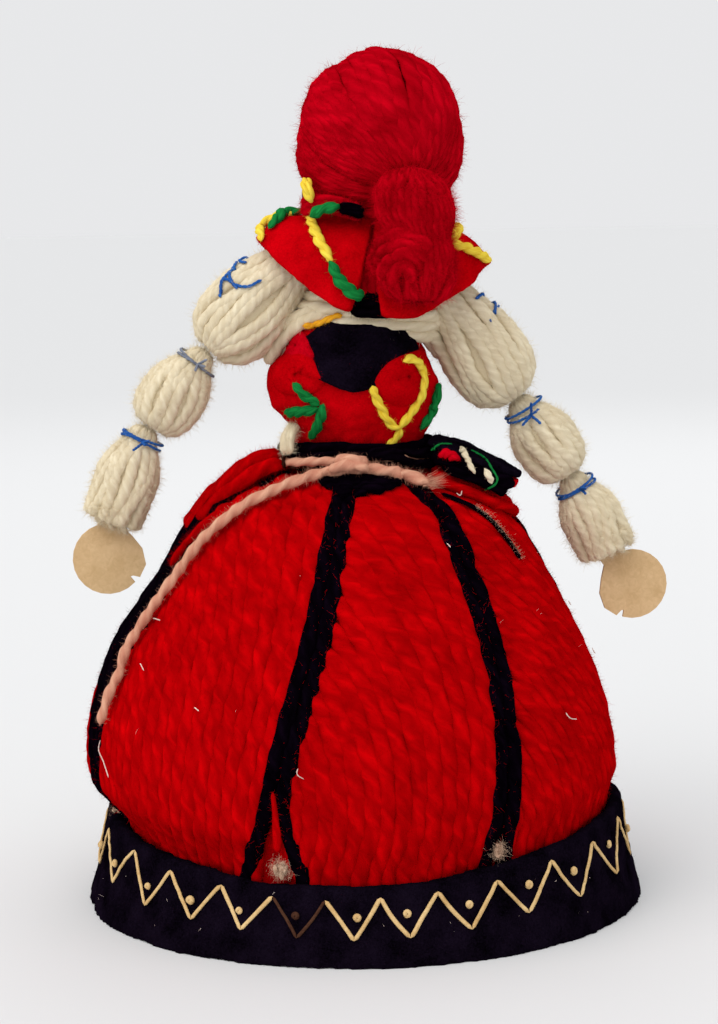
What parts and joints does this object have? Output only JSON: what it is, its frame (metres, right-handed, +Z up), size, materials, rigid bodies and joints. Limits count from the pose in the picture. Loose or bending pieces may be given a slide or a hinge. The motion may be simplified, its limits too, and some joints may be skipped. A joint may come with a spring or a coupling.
{
  "type": "yarn doll",
  "caption": "Folk costume doll of wound wool yarn and felt on a card cone, with a bell skirt, a hooded head and wired arms that bend.",
  "frame": {"origin": "centre of the underside of the card disc in the foot of the skirt, on the surface that the doll stands on", "axes": "+Z up through the head, +Y towards the front of the doll, +X to the right arm of the doll"},
  "size_m": [0.1175, 0.1096, 0.1652],
  "materials": {
    "red_wool": "twisted wool yarn laid in close rows, matt with loose hairs",
    "kerchief_wool": "fine combed wool, matt and fuzzy",
    "black_wool": "twisted wool yarn, matt with loose hairs",
    "cream_wool": "bundles of twisted undyed wool yarn, matt and fuzzy",
    "red_felt": "wool felt with sewn yarn motifs",
    "black_felt": "dense wool felt with a little lint",
    "pink_wool": "twisted wool cord, matt and fuzzy",
    "yellow_wool": "twisted wool yarn",
    "wadding": "loose cotton wadding",
    "skin_cloth": "smooth cotton cloth drawn over wadding",
    "straw_thread": "split straw thread, slightly glossy",
    "blue_thread": "sewing thread",
    "brown_card": "plain brown card, matt, with cut edges",
    "steel_wire": "bare annealed wire",
    "gilt_wire": "dull gilt wire"
  },
  "bodies": {
    "root": {"apron": "red_felt", "apron_band": "pink_wool", "apron_string": "pink_wool", "blouse": "cream_wool", "bodice": "red_felt", "bodice_yoke": "black_felt", "foot_card": "brown_card", "hem_band": "black_felt", "hem_zigzag": "straw_thread", "neck": "skin_cloth", "shawl_left": "red_felt", "shawl_pin": "gilt_wire", "shawl_right": "red_felt", "shoulder_wire": "steel_wire", "skirt_cone": "brown_card", "skirt_panel_1": "red_wool", "skirt_panel_2": "red_wool", "skirt_panel_3": "red_wool", "skirt_panel_4": "red_wool", "skirt_panel_5": "red_wool", "skirt_panel_6": "red_wool", "skirt_stripe_1": "black_wool", "skirt_stripe_2": "black_wool", "skirt_stripe_3": "black_wool", "skirt_stripe_4": "black_wool", "skirt_stripe_5": "black_wool", "skirt_stripe_6": "black_wool", "skirt_wadding": "wadding", "spine_wire": "steel_wire", "torso_core": "wadding", "waistband": "black_wool"},
    "head": {"face_cloth": "skin_cloth", "head_core": "wadding", "kerchief": "kerchief_wool", "kerchief_trim": "yellow_wool", "kerchief_tail": "kerchief_wool", "kerchief_bun": "kerchief_wool", "kerchief_tie": "kerchief_wool"},
    "left_upper_arm": {"upper_sleeve_left": "cream_wool", "upper_wire_left": "steel_wire"},
    "left_forearm": {"forearm_sleeve_left": "cream_wool", "forearm_wire_left": "steel_wire", "elbow_binding_left": "blue_thread"},
    "left_cuff": {"cuff_sleeve_left": "cream_wool", "cuff_wire_left": "steel_wire", "wrist_binding_left": "blue_thread", "hand_left": "brown_card"},
    "right_upper_arm": {"upper_sleeve_right": "cream_wool", "upper_wire_right": "steel_wire"},
    "right_forearm": {"forearm_sleeve_right": "cream_wool", "forearm_wire_right": "steel_wire", "elbow_binding_right": "blue_thread"},
    "right_cuff": {"cuff_sleeve_right": "cream_wool", "cuff_wire_right": "steel_wire", "wrist_binding_right": "blue_thread", "hand_right": "brown_card"},
    "left_earring": {"earring_left": "gilt_wire"},
    "right_earring": {"earring_right": "gilt_wire"},
    "pocket": {"pocket_flap": "black_felt", "pocket_pouch": "red_felt"}
  },
  "joints": [
    {"name": "head_turn", "type": "hinge", "parent": "root", "child": "head", "pos_m": [0, 0, 0.0865], "axis": [0.0872, 0, 0.9962], "range_deg": [-25, 10]},
    {"name": "left_shoulder", "type": "hinge", "parent": "root", "child": "left_upper_arm", "pos_m": [-0.01129, 0, 0.12493], "axis": [0, 1, 0], "range_deg": [0, 18]},
    {"name": "left_elbow", "type": "hinge", "parent": "left_upper_arm", "child": "left_forearm", "pos_m": [-0.03097, 0, 0.10572], "axis": [0.6984, 0, -0.7157], "range_deg": [0, 45]},
    {"name": "left_wrist", "type": "hinge", "parent": "left_forearm", "child": "left_cuff", "pos_m": [-0.04206, 0, 0.09091], "axis": [0, 1, 0], "range_deg": [0, 30]},
    {"name": "right_shoulder", "type": "hinge", "parent": "root", "child": "right_upper_arm", "pos_m": [0.01736, 0, 0.1174], "axis": [0, -1, 0], "range_deg": [0, 30]},
    {"name": "right_elbow", "type": "hinge", "parent": "right_upper_arm", "child": "right_forearm", "pos_m": [0.03313, 0, 0.09488], "axis": [0.8192, 0, 0.5736], "range_deg": [0, 45]},
    {"name": "right_wrist", "type": "hinge", "parent": "right_forearm", "child": "right_cuff", "pos_m": [0.04321, 0, 0.07936], "axis": [0, -1, 0], "range_deg": [0, 30]},
    {"name": "left_earring_swing", "type": "hinge", "parent": "head", "child": "left_earring", "pos_m": [-0.0093, -0.00451, 0.13951], "axis": [-0.3078, 0.9511, 0.0269], "range_deg": [-8, 40]},
    {"name": "right_earring_swing", "type": "hinge", "parent": "head", "child": "right_earring", "pos_m": [0.01836, 0.00451, 0.13709], "axis": [0.3078, -0.9511, -0.0269], "range_deg": [-8, 40]},
    {"name": "pocket_lift", "type": "hinge", "parent": "root", "child": "pocket", "pos_m": [0.01386, -0.00597, 0.0903], "axis": [-0.3957, -0.9184, 0], "range_deg": [0, 45]}
  ]
}
